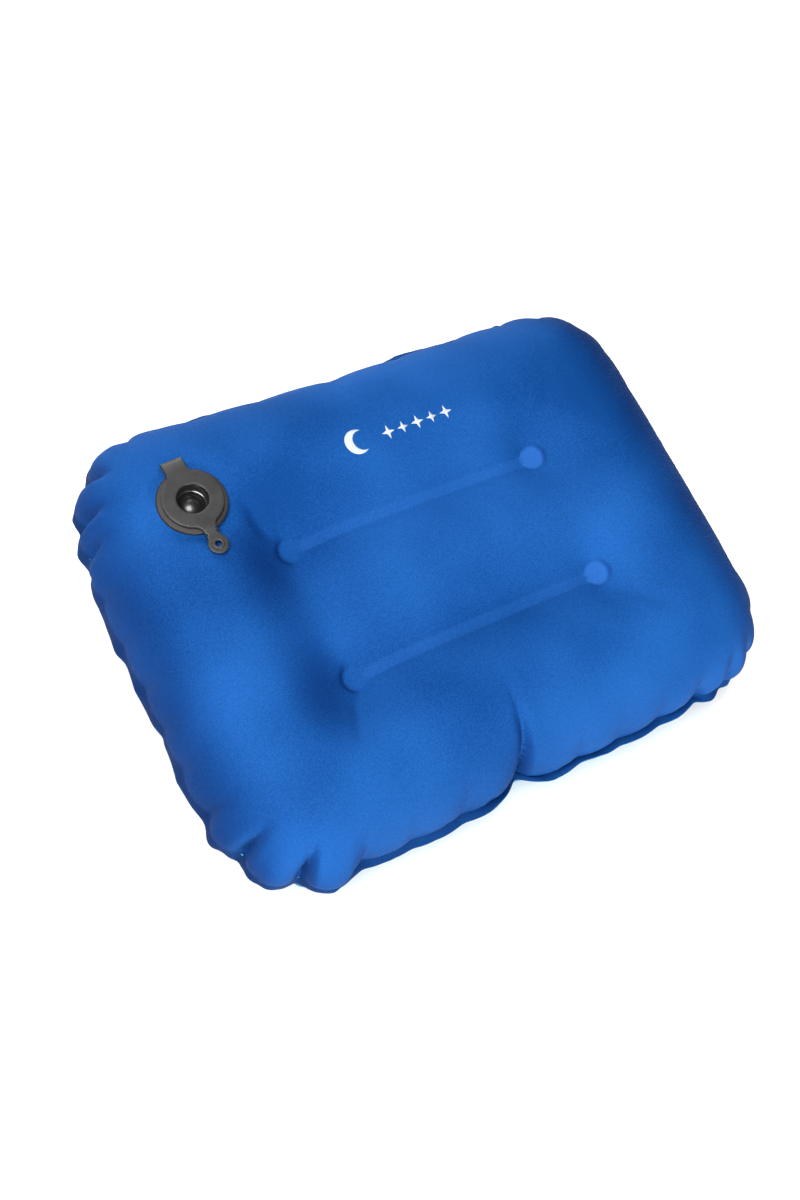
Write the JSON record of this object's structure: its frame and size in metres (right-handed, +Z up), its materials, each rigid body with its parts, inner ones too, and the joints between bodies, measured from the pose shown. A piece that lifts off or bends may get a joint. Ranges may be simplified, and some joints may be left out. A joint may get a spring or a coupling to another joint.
{
  "type": "camp pillow",
  "caption": "Inflatable camp pillow of two welded fabric panels with inner webs and a flat lift-lid valve with a one-way flap.",
  "frame": {"origin": "middle of the pillow's outline, on the floor that it rests on", "axes": "+X along the length, towards the end without the valve; +Y to the back edge, the valve's side; +Z up"},
  "size_m": [0.4, 0.303, 0.1062],
  "materials": {
    "top_fabric": "matte royal blue knit, air-tight coating inside",
    "bottom_fabric": "matte light blue knit, air-tight coating inside",
    "web_film": "satin milky film on fabric",
    "valve_body": "satin dark grey moulded soft plastic",
    "valve_lid": "satin dark grey moulded soft plastic",
    "valve_cage": "satin dark plastic",
    "flap_silicone": "glossy black silicone"
  },
  "bodies": {
    "pillow": {"top_panel": "top_fabric", "bottom_panel": "bottom_fabric", "rear_baffle": "web_film", "front_baffle": "web_film", "valve_base": "valve_body"},
    "lid": {"valve_lid": "valve_lid", "flap_cage": "valve_cage"},
    "flap": {"check_flap": "flap_silicone"}
  },
  "joints": [
    {"name": "lid_hinge", "type": "hinge", "parent": "pillow", "child": "lid", "pos_m": [-0.13838, 0.10708, 0.10155], "axis": [-0.9957, -0.0617, -0.0685], "range_deg": [0, 150]},
    {"name": "flap_slide", "type": "slide", "parent": "lid", "child": "flap", "axis": [0.0698, -0.0199, -0.9974], "range_m": [0, 0.0025], "stiffness_N_per_m": 40, "springref_m": -0.0005}
  ]
}
